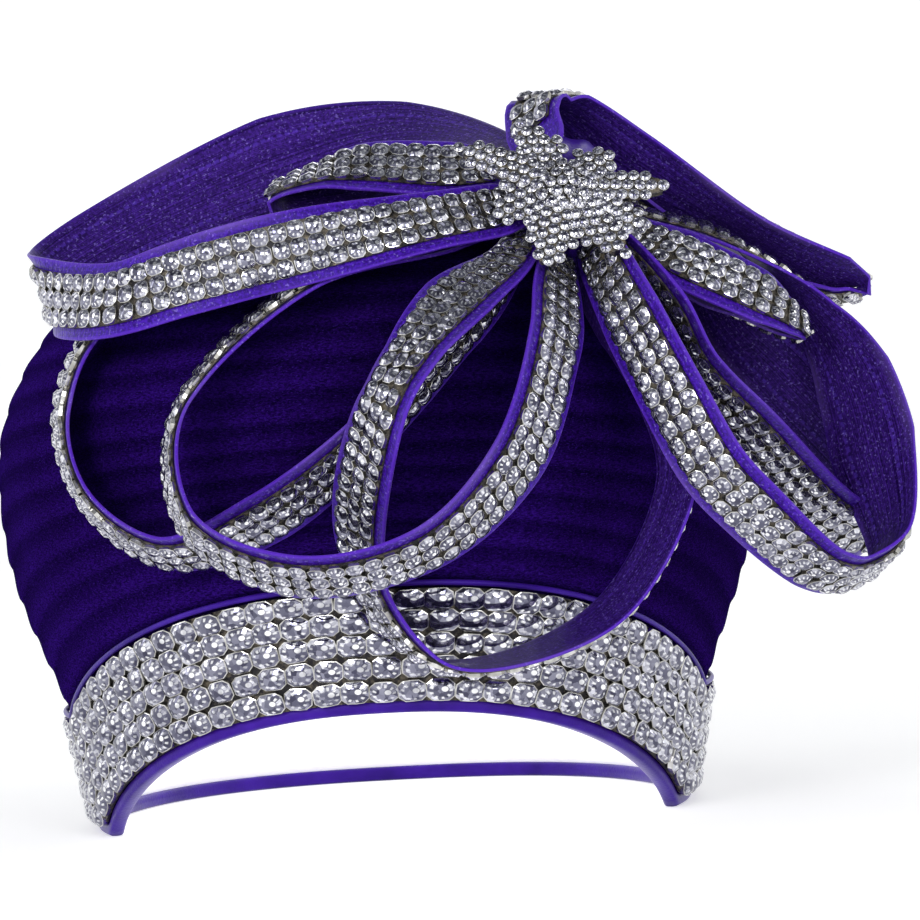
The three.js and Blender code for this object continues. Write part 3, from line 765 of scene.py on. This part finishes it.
def cut_crystal(name, dark, middle, light):
    """Foiled crystal in small facets of painted dark to light reflections, with a painted highlight and a ring
    of painted glints on each stone's own UV map.
    """
    nodes = Nodes(name)
    # Painted reflections: the facets' tones, from dark to light, in small cells.
    cells = nodes.add("ShaderNodeTexVoronoi", {"Vector": nodes.on_object(), "Scale": 640}, feature="F1")
    tone = nodes.ramp(cells.outputs["Color"], (0.12, dark), (0.5, middle), (0.88, light))
    uv = nodes.uv()
    # Painted highlight: one bright round spot on each stone.
    painted_highlight = nodes.ramp(nodes.distance(uv, (0.63, 0.56, 0)), (0.1, 1), (0.13, 0))
    aside, above = (nodes.math("SUBTRACT", share, 0.5) for share in nodes.uv_shares())
    # Painted glints: a ring of small bright beads round the stone's middle.
    turn = nodes.math("ARCTAN2", above, aside)
    beads = nodes.ramp(nodes.math("COSINE", nodes.math("MULTIPLY", turn, 9.0)), (0.1, 0), (0.6, 1))
    reach = nodes.distance(uv, (0.5, 0.5, 0))
    ring = nodes.ramp(nodes.gap(reach, 0.34), (0.04, 1), (0.08, 0))
    painted_glints = nodes.math("MULTIPLY", nodes.math("MULTIPLY", beads, ring), 0.75)
    # The painted highlight and glints are dimmed on some stones at random.
    lively = nodes.ramp(nodes.noise(110), (0.4, 0.5), (0.56, 1))
    painted_shine = nodes.math("MULTIPLY", nodes.math("MAXIMUM", painted_highlight, painted_glints), lively)
    nodes.set(Base_Color=nodes.mix(painted_shine, tone, WHITE), Metallic=0.92, Roughness=0.06)
    return nodes.material


def silver_cup():
    nodes = Nodes("silver_cup")
    tone = nodes.ramp(nodes.noise(300, 1, 0.6), (0.3, colour(150, 148, 142)), (0.7, colour(214, 213, 210)))
    nodes.set(Base_Color=tone, Metallic=1.0, Roughness=0.25)
    return nodes.material


def gilt_thread():
    nodes = Nodes("gilt_thread")
    strands = nodes.noise(500, 3, 0.7)
    tone = nodes.ramp(strands, (0.45, colour(28, 26, 32)), (0.75, colour(122, 112, 94)))
    nodes.set(Base_Color=tone, Metallic=0.5, Roughness=0.45)
    nodes.bump(strands, 0.0004, 0.8)
    return nodes.material


def crown_lining():
    """Pale cloth. It gives off a little light, as the photo shows white under the arch."""
    nodes = Nodes("crown_lining")
    tone = nodes.ramp(nodes.noise(14, 2, 0.5), (0.3, colour(232, 230, 236)), (0.7, colour(246, 245, 248)))
    nodes.set(Base_Color=tone, Roughness=0.55, Sheen_Weight=0.2, Sheen_Roughness=0.4)
    nodes.set(Emission_Color=WHITE, Emission_Strength=0.35)
    nodes.bump(nodes.noise(800, 2, 0.6, (1, 1, 3)), 0.0003, 0.4)
    return nodes.material


MATERIALS = {}
# Lit and shaded copies of the crystal: the bright and the dark facets' tones are painted light and dark
# reflections.
FACET_TONES = {
    "bright_facet": (colour(88, 88, 104), colour(146, 146, 160), colour(222, 222, 230)),
    "dark_facet": (colour(70, 69, 88), colour(106, 106, 124), colour(152, 152, 168)),
}


def material(name):
    """A material by name, made on its first use."""
    makers = {
        "crown_satin": crown_satin,
        "crown_lining": crown_lining,
        "ribbon_face": lambda: ribbon_satin(name, False),
        "ribbon_back": lambda: ribbon_satin(name, True),
        "edge_satin": lambda: plain_satin(name),
        "bright_facet": lambda: cut_crystal(name, *FACET_TONES[name]),
        "dark_facet": lambda: cut_crystal(name, *FACET_TONES[name]),
        "silver_cup": silver_cup,
        "gilt_thread": gilt_thread,
    }
    if name not in MATERIALS:
        MATERIALS[name] = makers[name]()
    return MATERIALS[name]


def stone_materials():
    """The slots of a set stone, in the order of BRIGHT, CUP, GROUND and DARK."""
    return [material(name) for name in ("bright_facet", "silver_cup", "gilt_thread", "dark_facet")]


# Settings


LENGTH = {"unit": "LENGTH", "precision": 4}


class HatCrownSettings(PropertyGroup):
    fold_count: IntProperty(name="Folds", description="Rows of folds up the crown", default=13)
    fold_height: FloatProperty(
        name="Fold height", description="How far a fold stands out", **LENGTH, default=0.6 * MM
    )
    wall: FloatProperty(name="Wall", description="Thickness of the crown", **LENGTH, default=3.0 * MM)
    columns: IntProperty(name="Columns", description="Faces round the crown", default=300)


class HatRibbonSettings(PropertyGroup):
    width: FloatProperty(
        name="Ribbon width", description="Width of each ribbon", **LENGTH, default=22.0 * MM
    )
    thickness: FloatProperty(
        name="Ribbon thickness", description="Thickness of each ribbon", **LENGTH, default=1.0 * MM
    )
    step: FloatProperty(
        name="Step", description="Length of one face along a ribbon", **LENGTH, default=1.6 * MM
    )


class HatCrystalSettings(PropertyGroup):
    trim_pitch: FloatProperty(
        name="Trim pitch", description="Distance between trim stones", **LENGTH, default=5.1 * MM
    )
    trim_lift: FloatProperty(
        name="Trim lift", description="Height of a trim off its ribbon", **LENGTH, default=0.3 * MM
    )
    band_rows: IntProperty(name="Band rows", description="Rows of stones in the band", default=5)
    band_columns: IntProperty(name="Band columns", description="Stones round the band", default=80)
    leaf_pitch: FloatProperty(
        name="Leaf pitch", description="Distance between leaf stones", **LENGTH, default=3.3 * MM
    )


class HatStageSettings(PropertyGroup):
    floor_colour: FloatVectorProperty(
        name="Floor colour",
        description="Colour of the floor and the wall",
        subtype="COLOR",
        size=3,
        default=(0.8, 0.8, 0.8),
    )
    floor_light: FloatProperty(
        name="Floor light", description="Light that the floor and the wall give off", default=0.42
    )


# Pieces


class HAT_OT_crown(Operator):
    """Makes the folded satin crown, outside and inside"""

    bl_idname = "hat.crown"
    bl_label = "Crown"

    def execute(self, context):
        settings = context.scene.hat_crown
        pitch = (FOLDS_END - BAND_TOP - FOLD_START) / settings.fold_count
        rows = OUTSIDE_ROWS + INSIDE_ROWS + 2
        dice = random.Random(4)
        waves = [(dice.choice((2, 3, 5, 7)), dice.uniform(0, 6.3), dice.uniform(0.2, 0.5)) for i in range(5)]

        def fold(along, around):
            """How far the folds stand out at a place on the crown, in mm."""
            if along < BAND_TOP + FOLD_START:
                return 0.0
            drift = sum(size * math.sin(count * around + start) for count, start, size in waves)
            count = (along - BAND_TOP - FOLD_START + drift) / pitch
            share = count - math.floor(count)
            rise = smooth_step(0, 0.22, share) * (1 - smooth_step(0.3, 1.0, share))
            fade = 1 - smooth_step(FOLDS_END - 1.5 * pitch, FOLDS_END, along)
            return in_mm(settings.fold_height) * rise * fade

        rises = []

        def place(u, v):
            around = (u - 0.5) * 2 * math.pi
            row = round(v * rows)
            rises.append(0.0)
            if row <= OUTSIDE_ROWS:
                along = CROWN_FOOT + (POLE - CROWN_FOOT) * row / OUTSIDE_ROWS
                if row == OUTSIDE_ROWS:
                    return spot(*level_point(CROWN_LEVELS[-1], 0))
                point, out, beside = crown_spot(min(along, POLE - 0.6), around)
                rise = fold(along, around)
                rises[-1] = rise / in_mm(settings.fold_height)
                return spot(*(point + out * rise))
            row -= OUTSIDE_ROWS + 1
            if row == 0:
                top = level_point(CROWN_LEVELS[-1], 0)
                return spot(top.x, top.y, top.z - in_mm(settings.wall))
            if row > INSIDE_ROWS:
                return spot(*crown_spot(CROWN_FOOT, around)[0])
            along = CROWN_FOOT + (POLE - INSIDE_STOP - CROWN_FOOT) * (INSIDE_ROWS - row) / (INSIDE_ROWS - 1)
            return spot(*crown_spot(along, around, -in_mm(settings.wall))[0])

        bm = bmesh.new()
        made = shaped_grid(bm, settings.columns, rows, place)
        layer = uv_layer(bm)
        rise_at = dict(zip(made, rises))
        # The UV map's x takes each point's share of the fold height. The crown's material paints shade in the
        # hollows and light on the crests from it.
        for face in bm.faces:
            for corner in face.loops:
                corner[layer].uv.x = rise_at[corner.vert]
        top = level_point(CROWN_LEVELS[-1], 0)
        outer_top, inner_top = spot(*top), spot(top.x, top.y, top.z - in_mm(settings.wall))
        between = [
            face
            for face in bm.faces
            if any((vert.co - outer_top).length < 1e-7 for vert in face.verts)
            and any((vert.co - inner_top).length < 1e-7 for vert in face.verts)
        ]
        bmesh.ops.delete(bm, geom=between, context="FACES")
        close_up(bm)
        for face in bm.faces:
            if min(corner[layer].uv.y for corner in face.loops) * rows > OUTSIDE_ROWS + 0.5:
                face.material_index = 1
        piece = finished("crown_folds", bm, [material("crown_satin"), material("crown_lining")])
        declare(piece, "crown")
        return {"FINISHED"}


def edge_tube(name, along, section):
    """A closed ring that follows one level of the crown; the section is given as outward and up, in mm."""
    def place(u, v):
        around = (u - 0.5) * 2 * math.pi
        point, out, beside = crown_spot(along, around)
        level = Vector((out.x, out.y, 0)).normalized()
        outward, up = section(v)
        return spot(*(point + level * outward + Vector((0, 0, up))))

    bm = bmesh.new()
    shaped_grid(bm, EDGE_COLUMNS, EDGE_ROWS, place)
    close_up(bm)
    return finished(name, bm, [material("edge_satin")])


class HAT_OT_edges(Operator):
    """Makes the satin binding of the rim and the piping over the band"""

    bl_idname = "hat.edges"
    bl_label = "Binding and piping"

    def execute(self, context):
        def binding(v):
            turn = v * 2 * math.pi
            outward = -1.3 + 2.4 * math.copysign(abs(math.sin(turn)) ** 0.6, math.sin(turn))
            up = 2.2 - 2.2 * math.copysign(abs(math.cos(turn)) ** 0.6, math.cos(turn))
            return outward, up

        def piping(v):
            turn = v * 2 * math.pi
            return 1.4 + 0.85 * math.sin(turn), -0.85 * math.cos(turn)

        rim = edge_tube("rim_satin", 0.0, binding)
        declare(rim, "rim_binding")
        cord = edge_tube("band_piping_satin", BAND_TOP + 1.5, piping)
        declare(cord, "band_piping")
        return {"FINISHED"}


class HAT_OT_band(Operator):
    """Makes the band: a netted ground with rows of set stones"""

    bl_idname = "hat.band"
    bl_label = "Crystal band"

    def execute(self, context):
        settings = context.scene.hat_crystal
        bm = bmesh.new()
        under, over = BAND_GROUND

        def ground(u, v):
            around = (u - 0.5) * 2 * math.pi
            share, outside = strip_outline(v, 11)
            along = BAND_START + (BAND_TOP - BAND_START) * share
            return spot(*crown_spot(along, around, over if outside else under)[0])

        shaped_grid(bm, 184, 24, ground)
        close_up(bm)
        all_ground(bm)
        pitch = (BAND_TOP - BAND_START) / settings.band_rows
        template = stone_mesh("band_stone", pitch * 0.53 * MM, BAND_CUSHION)
        places = []
        for row in range(settings.band_rows):
            along = BAND_START + pitch * (row + 0.5)
            ring = [crown_spot(along, i / 720 * 2 * math.pi - math.pi)[0] for i in range(721)]
            lengths = [0.0]
            for first, second in zip(ring, ring[1:]):
                lengths.append(lengths[-1] + (second - first).length)
            index = 0
            for column in range(settings.band_columns):
                wanted = lengths[-1] * (column + 0.5 * (row % 2) * 0.3) / settings.band_columns
                while lengths[index + 1] < wanted:
                    index += 1
                share = (wanted - lengths[index]) / (lengths[index + 1] - lengths[index])
                around = (index + share) / 720 * 2 * math.pi - math.pi
                point, out, beside = crown_spot(along, around, BAND_STONES_AT)
                wide = lengths[-1] / settings.band_columns / pitch
                places.append(seat(point, beside, out, 1.0) @ Matrix.Diagonal((wide, 1, 1, 1)))
        set_stones(bm, template, places, 11)
        piece = finished("crystal_band_stones", bm, stone_materials(), smooth=False)
        declare(piece, "crystal_band")
        return {"FINISHED"}


class HAT_OT_ribbons(Operator):
    """Makes the satin ribbon loops"""

    bl_idname = "hat.ribbons"
    bl_label = "Ribbon loops"

    def execute(self, context):
        settings = context.scene.hat_ribbon
        for name, loop in LOOP_ROUTES.items():
            columns = round(loop.length / in_mm(settings.step))

            def place(u, v):
                point, across, face, gather = loop.at(u * loop.length)
                half = in_mm(settings.width) / 2 * gather
                return spot(*(point + across * half * (1 - 2 * v)))

            bm = bmesh.new()
            shaped_grid(bm, columns, 14, place)
            layer = uv_layer(bm)
            for bm_face in bm.faces:
                for corner in bm_face.loops:
                    corner[layer].uv.x *= loop.length * MM
            piece = finished(f"ribbon_{name}_satin", bm, [material("ribbon_face"), material("ribbon_back")])
            thick = piece.modifiers.new("Thickness", "SOLIDIFY")
            thick.thickness = settings.thickness
            thick.offset = 0
            thick.material_offset = 1
            thick.use_even_offset = True
            soft = piece.modifiers.new("Rolled edge", "BEVEL")
            soft.width = 0.3 * MM
            soft.segments = 2
            soft.limit_method = "ANGLE"
            declare(piece, f"ribbon_{name}")
            widest = in_mm(settings.width) * max(frame_at[3] for frame_at in loop.frames)
        return {"FINISHED"}


class HAT_OT_trims(Operator):
    """Makes the crystal trims on the ribbons"""

    bl_idname = "hat.trims"
    bl_label = "Crystal trims"

    def execute(self, context):
        settings = context.scene.hat_crystal
        ribbon = context.scene.hat_ribbon
        pitch = in_mm(settings.trim_pitch)
        template = stone_mesh("trim_stone", pitch * 0.51 * MM, TRIM_CUSHION)
        low = in_mm(ribbon.thickness) / 2 + in_mm(settings.trim_lift)
        for order, (name, loop) in enumerate(LOOP_ROUTES.items()):
            open_lengths = [
                length
                for length in range(int(loop.length))
                if not in_knot(loop.at(length)[0] + loop.at(length)[2] * low, 3.0)
            ]
            start, end = open_lengths[0], open_lengths[-1]
            columns = round((end - start) / 2.5)
            half_width = 1.5 * pitch

            def ground(u, v):
                point, across, face, gather = loop.at(start + (end - start) * u)
                share, top = strip_outline(v, 5)
                height = low + (TRIM_GROUND if top else 0.0)
                side = half_width * min(1.0, gather) * (1 - 2 * share)
                return spot(*(point + across * side + face * height))

            bm = bmesh.new()
            shaped_grid(bm, columns, 12, ground)
            close_up(bm)
            all_ground(bm)
            places = []
            count = round((end - start) / pitch)
            for column in range(count):
                length = start + (end - start) * (column + 0.5) / count
                point, across, face, gather = loop.at(length)
                forward = across.cross(face).normalized()
                gathered = min(1.0, gather)
                for row in TRIM_ROWS:
                    seat_point = point + across * row * pitch * gathered + face * (low + TRIM_STONES_AT)
                    places.append(seat(seat_point, forward, face, max(gathered, 0.8)))
            set_stones(bm, template, places, 20 + order)
            piece = finished(f"trim_{name}_stones", bm, stone_materials(), smooth=False)
            declare(piece, f"trim_{name}")
        return {"FINISHED"}


class HAT_OT_knot(Operator):
    """Makes the gathered knot under the brooch"""

    bl_idname = "hat.knot"
    bl_label = "Knot"

    def execute(self, context):
        bm = bmesh.new()
        bmesh.ops.create_uvsphere(bm, u_segments=64, v_segments=32, radius=1.0)
        for vert in bm.verts:
            turn = math.atan2(vert.co.z, vert.co.x)
            pleat = 1 - 0.05 * (0.5 + 0.5 * math.cos(14 * turn))
            size = [radius * pleat for radius in KNOT_RADII]
            local = [vert.co[i] * size[i] + KNOT_MIDDLE[i] for i in range(3)]
            vert.co = spot(*local)
        radius, depth = KNOT_FOOT
        middle = spot(KNOT_MIDDLE[0], KNOT_MIDDLE[1] + 6, KNOT_MIDDLE[2] - depth / 2)
        bmesh.ops.create_cone(
            bm,
            cap_ends=True,
            segments=24,
            radius1=radius * MM,
            radius2=radius * MM,
            depth=depth * MM,
            matrix=Matrix.Translation(middle),
        )
        piece = finished("bow_knot_satin", bm, [material("edge_satin")])
        declare(piece, "bow_knot")
        return {"FINISHED"}


class HAT_OT_brooch(Operator):
    """Makes the leaf brooch with its stones"""

    bl_idname = "hat.brooch"
    bl_label = "Brooch"

    def execute(self, context):
        pitch = in_mm(context.scene.hat_crystal.leaf_pitch)
        tilt = Matrix.Rotation(math.pi / 2 - math.radians(BROOCH_TILT), 3, "X")
        middle = Vector(BROOCH_MIDDLE)
        bm = bmesh.new()
        places = []
        template = stone_mesh("leaf_stone", pitch * 0.5 * MM, 0.0)

        def width_at(reach):
            return max(0.0, math.sin(math.pi * (0.12 + 0.88 * min(reach, 1.0)) ** 1.15)) ** 0.7

        for angle, length, half_width, lift in LEAVES:
            turn = math.radians(angle)
            out = Vector((math.cos(turn), math.sin(turn), 0))
            side = Vector((-math.sin(turn), math.cos(turn), 0))

            def surface(reach, across):
                """A point of the leaf's top, with reach 0 to 1 along it and across -1 to 1."""
                half = half_width * width_at(reach)
                height = lift * (1 - 0.6 * reach) * (1 - 0.55 * across * across) + 0.3
                return out * length * reach + side * half * across + Vector((0, 0, height))

            def leaf(u, v):
                reach = 0.02 + 0.98 * u
                top = v <= 0.5
                across = 4 * v - 1 if top else 3 - 4 * v
                point = surface(reach * 0.9, across * 0.7)
                if not top:
                    point.z = -1.2 if abs(across) < 0.99 else min(point.z, -0.2)
                return spot(*(middle + tilt @ point))

            shaped_grid(bm, 24, 20, leaf)
            rows = int(half_width // pitch) + 1
            for row in range(-rows, rows + 1):
                reach_at = 0.16 + (0.5 * pitch / length if row % 2 else 0)
                while reach_at < 0.99:
                    half = half_width * width_at(reach_at)
                    across = row * pitch * 0.9 / half if half > 0.5 else 2
                    if abs(across) * half < half - 0.5 or (row == 0 and half > 0.5):
                        point = surface(reach_at, across)
                        near = point - surface(reach_at - 0.02, across)
                        beside = surface(reach_at, across + 0.05) - point
                        normal = near.cross(beside).normalized()
                        if normal.z < 0:
                            normal = -normal
                        right = tilt @ near.normalized()
                        place = middle + tilt @ (point - normal * 0.3)
                        places.append(seat(place, right, (tilt @ normal).normalized(), 1.0))
                    reach_at += pitch / length
        close_up(bm, 0.01)
        all_ground(bm)
        for ring, count in ((0.0, 1), (3.3, 6), (6.5, 12)):
            for i in range(count):
                turn = i / count * 2 * math.pi
                height = 4.6 - 0.035 * ring * ring
                normal = Vector((math.cos(turn) * ring * 0.07, math.sin(turn) * ring * 0.07, 1)).normalized()
                point = Vector((math.cos(turn) * ring, math.sin(turn) * ring, height))
                right = normal.cross(Vector((math.sin(turn + 0.3), math.cos(turn + 0.3), 0.01))).normalized()
                places.append(seat(middle + tilt @ point, tilt @ right, tilt @ normal, 1.0))
        set_stones(bm, template, places, 5)
        piece = finished("brooch_leaves", bm, stone_materials(), smooth=False)
        declare(piece, "brooch")
        return {"FINISHED"}


class HAT_OT_stage(Operator):
    """Sets up the floor, the round wall, the lights and the camera"""

    bl_idname = "hat.stage"
    bl_label = "Stage"

    def execute(self, context):
        settings = context.scene.hat_stage
        nodes = Nodes("studio_white")
        nodes.set(Base_Color=(*settings.floor_colour, 1.0), Roughness=0.9, Specular_IOR_Level=0.1)
        nodes.set(Emission_Color=WHITE, Emission_Strength=settings.floor_light)
        bm = bmesh.new()
        bmesh.ops.create_circle(bm, cap_ends=True, radius=FLOOR_RADIUS, segments=96)
        edges = list(bm.edges)
        for lift, grow in WALL_RINGS:
            verts, edges, faces = extrude_ring(bm, edges)
            for vert in verts:
                flat = Vector((vert.co.x, vert.co.y)).normalized() * FLOOR_RADIUS * grow
                vert.co = Vector((flat.x, flat.y, lift))
        floor = finished("studio_floor", bm, [nodes.material])
        world = bpy.data.worlds.new("studio_air")
        world.use_nodes = True
        air = world.node_tree.nodes["Background"].inputs
        air["Color"].default_value = (0.75, 0.78, 0.85, 1)
        air["Strength"].default_value = 0.3
        context.scene.world = world
        context.scene.view_settings.view_transform = "Standard"
        aim = spot(*CAMERA_AIM)
        for name, place, size, power in LIGHTS:
            light = bpy.data.lights.new(name, "AREA")
            light.shape = "RECTANGLE"
            light.size, light.size_y = size
            light.energy = power
            lamp = bpy.data.objects.new(name, light)
            lamp.location = aim + Vector(place)
            lamp.rotation_euler = Vector(place).to_track_quat("Z", "Y").to_euler()
            context.scene.collection.objects.link(lamp)
        tilt = math.radians(CAMERA_ELEVATION)
        roll = math.radians(CAMERA_ROLL)
        ahead = Vector((0, math.cos(tilt), -math.sin(tilt)))
        level = Vector((1, 0, 0))
        rise = Vector((0, math.sin(tilt), math.cos(tilt)))
        right = level * math.cos(roll) - rise * math.sin(roll)
        up = level * math.sin(roll) + rise * math.cos(roll)
        camera_data = bpy.data.cameras.new("camera")
        camera_data.sensor_width = SENSOR
        camera_data.lens = SENSOR * CAMERA_DISTANCE / (IMAGE_SIZE * MM_PER_PIXEL)
        camera_data.clip_end = 50
        camera = bpy.data.objects.new("camera", camera_data)
        turn = Matrix((right, up, -ahead)).transposed().to_4x4()
        camera.matrix_world = Matrix.Translation(aim - ahead * CAMERA_DISTANCE * MM) @ turn
        context.scene.collection.objects.link(camera)
        context.scene.camera = camera
        return {"FINISHED"}


class HAT_PT_panel(Panel):
    """Lists the hat's pieces"""

    bl_idname = "HAT_PT_panel"
    bl_label = "Church hat"
    bl_space_type = "VIEW_3D"
    bl_region_type = "UI"
    bl_category = "Hat"

    def draw(self, context):
        layout = self.layout
        for operator in OPERATORS:
            layout.operator(operator.bl_idname)
        for name in SETTINGS:
            group = getattr(context.scene, name)
            box = layout.box()
            for key in group.__annotations__:
                box.prop(group, key)


SETTINGS = {
    "hat_crown": HatCrownSettings,
    "hat_ribbon": HatRibbonSettings,
    "hat_crystal": HatCrystalSettings,
    "hat_stage": HatStageSettings,
}
OPERATORS = [
    HAT_OT_stage,
    HAT_OT_crown,
    HAT_OT_edges,
    HAT_OT_band,
    HAT_OT_ribbons,
    HAT_OT_trims,
    HAT_OT_knot,
    HAT_OT_brooch,
]


def register():
    for name, group in SETTINGS.items():
        bpy.utils.register_class(group)
        setattr(bpy.types.Scene, name, PointerProperty(type=group))
    for operator in OPERATORS:
        bpy.utils.register_class(operator)
    bpy.utils.register_class(HAT_PT_panel)


def unregister():
    bpy.utils.unregister_class(HAT_PT_panel)
    for operator in reversed(OPERATORS):
        bpy.utils.unregister_class(operator)
    for name, group in SETTINGS.items():
        delattr(bpy.types.Scene, name)
        bpy.utils.unregister_class(group)


def main():
    register()
    bpy.ops.hat.stage()
    bpy.ops.hat.crown()
    bpy.ops.hat.edges()
    bpy.ops.hat.band()
    bpy.ops.hat.ribbons()
    bpy.ops.hat.trims()
    bpy.ops.hat.knot()
    bpy.ops.hat.brooch()
    bpy.context.view_layer.update()


if __name__ == "__main__":
    main()
